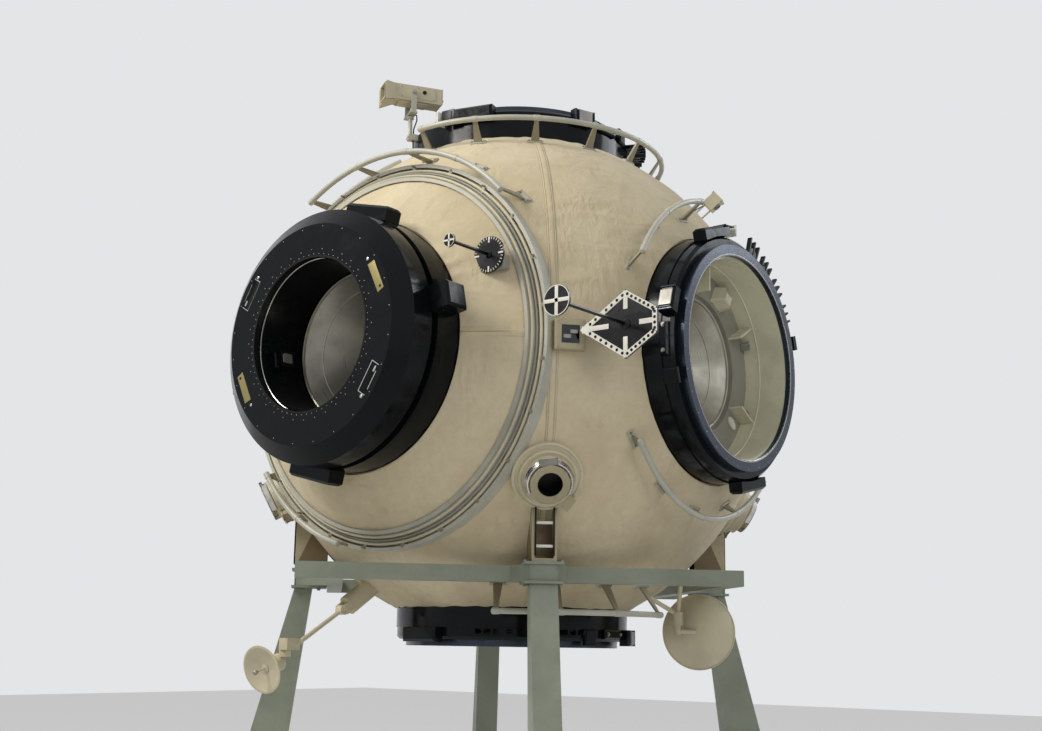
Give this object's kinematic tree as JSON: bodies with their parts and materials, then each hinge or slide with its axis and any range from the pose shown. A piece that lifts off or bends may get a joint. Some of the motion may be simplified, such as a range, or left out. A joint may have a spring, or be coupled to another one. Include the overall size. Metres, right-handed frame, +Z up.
{
  "type": "spherical docking node module",
  "caption": "Full-size spherical docking node with a port on each axis, hinged hatches with receiving cones, handrails, dish aerials and a tilting camera, held on a splayed steel stand.",
  "frame": {"origin": "on the floor under the hull's centre, at the middle of the stand's four feet", "axes": "+Z up, -Y out of the front port, +X out of the right port"},
  "size_m": [3.68, 3.838, 5.29],
  "materials": {
    "blanket": "matt woven blanket",
    "black_ring": "gloss black enamel",
    "port_wall": "satin cream",
    "silver_ring": "satin",
    "cone": "satin spun metal",
    "cable_ring": "satin cream",
    "handrail": "satin cream",
    "rib": "satin grey",
    "boss": "satin cream",
    "strut": "satin beige",
    "stand": "satin grey green",
    "camera": "satin cream",
    "aerial": "satin cream",
    "aerial_metal": "satin",
    "target": "gloss black",
    "lamp": "satin cream"
  },
  "bodies": {
    "module": {"hull_upper_front": "blanket", "hull_lower_front": "blanket", "hull_upper_right": "blanket", "hull_lower_right": "blanket", "hull_upper_rear": "blanket", "hull_lower_rear": "blanket", "hull_upper_left": "blanket", "hull_lower_left": "blanket", "port_necks": "port_wall", "hatch_seats": "port_wall", "seal_rings": "silver_ring", "throat_liners": "port_wall", "docking_ring_front": "black_ring", "docking_ring_rear": "black_ring", "docking_ring_right": "black_ring", "docking_ring_left": "black_ring", "docking_ring_top": "black_ring", "docking_ring_bottom": "black_ring", "cable_ring": "cable_ring", "handrails_front": "handrail", "handrails_right": "handrail", "handrails_rear": "handrail", "handrails_left": "handrail", "handrail_top": "handrail", "handrail_bottom": "handrail", "perforated_rib": "rib", "lifting_bosses": "boss", "support_struts": "strut", "stand_beam_front": "stand", "stand_leg_front": "stand", "stand_beam_right": "stand", "stand_leg_right": "stand", "stand_beam_rear": "stand", "stand_leg_rear": "stand", "stand_beam_left": "stand", "stand_leg_left": "stand", "camera_mast": "aerial_metal", "aerial_left_root": "aerial", "aerial_right_struts": "aerial_metal", "target_large_front": "target", "target_small_front": "target", "target_large_rear": "target", "target_small_rear": "target", "lamp_box": "lamp", "sensor_box": "lamp"},
    "hatch_front": {"hatch_front": "cone"},
    "hatch_rear": {"hatch_rear": "cone"},
    "hatch_right": {"hatch_right": "cone"},
    "hatch_left": {"hatch_left": "cone"},
    "hatch_top": {"hatch_top": "cone"},
    "hatch_bottom": {"hatch_bottom": "cone"},
    "television_camera": {"television_camera": "camera"},
    "aerial_left_boom": {"aerial_left_boom": "aerial_metal"},
    "aerial_left_dish": {"aerial_left_dish": "aerial"},
    "aerial_right_dish": {"aerial_right_dish": "aerial"}
  },
  "joints": [
    {"name": "hatch_front_hinge", "type": "hinge", "parent": "module", "child": "hatch_front", "pos_m": [0, -1.49, 2.755], "axis": [-1, 0, 0], "range_deg": [0, 90]},
    {"name": "hatch_rear_hinge", "type": "hinge", "parent": "module", "child": "hatch_rear", "pos_m": [0, 1.49, 3.845], "axis": [-1, 0, 0], "range_deg": [0, 90]},
    {"name": "hatch_right_hinge", "type": "hinge", "parent": "module", "child": "hatch_right", "pos_m": [1.35, 0.545, 3.3], "axis": [0, 0, -1], "range_deg": [0, 90]},
    {"name": "hatch_left_hinge", "type": "hinge", "parent": "module", "child": "hatch_left", "pos_m": [-1.35, -0.545, 3.3], "axis": [0, 0, -1], "range_deg": [0, 90]},
    {"name": "hatch_top_hinge", "type": "hinge", "parent": "module", "child": "hatch_top", "pos_m": [0.545, 0, 4.65], "axis": [0, -1, 0], "range_deg": [0, 90]},
    {"name": "hatch_bottom_hinge", "type": "hinge", "parent": "module", "child": "hatch_bottom", "pos_m": [-0.545, 0, 1.95], "axis": [0, -1, 0], "range_deg": [0, 90]},
    {"name": "camera_tilt", "type": "hinge", "parent": "module", "child": "television_camera", "pos_m": [-0.4163, -0.67141, 5.235], "axis": [0.8499, -0.527, 0], "range_deg": [-30, 45]},
    {"name": "aerial_left_shoulder", "type": "hinge", "parent": "module", "child": "aerial_left_boom", "pos_m": [-0.552, -1, 1.794], "axis": [-0.9872, 0.1597, 0], "range_deg": [-60, 10]},
    {"name": "aerial_left_swivel", "type": "hinge", "parent": "aerial_left_boom", "child": "aerial_left_dish", "pos_m": [-0.655, -1.362, 1.528], "axis": [0, 0, 1], "range_deg": [-45, 45]},
    {"name": "aerial_right_swivel", "type": "hinge", "parent": "module", "child": "aerial_right_dish", "pos_m": [1.031, 0.364, 1.758], "axis": [0, 0, 1], "range_deg": [-30, 30]}
  ]
}
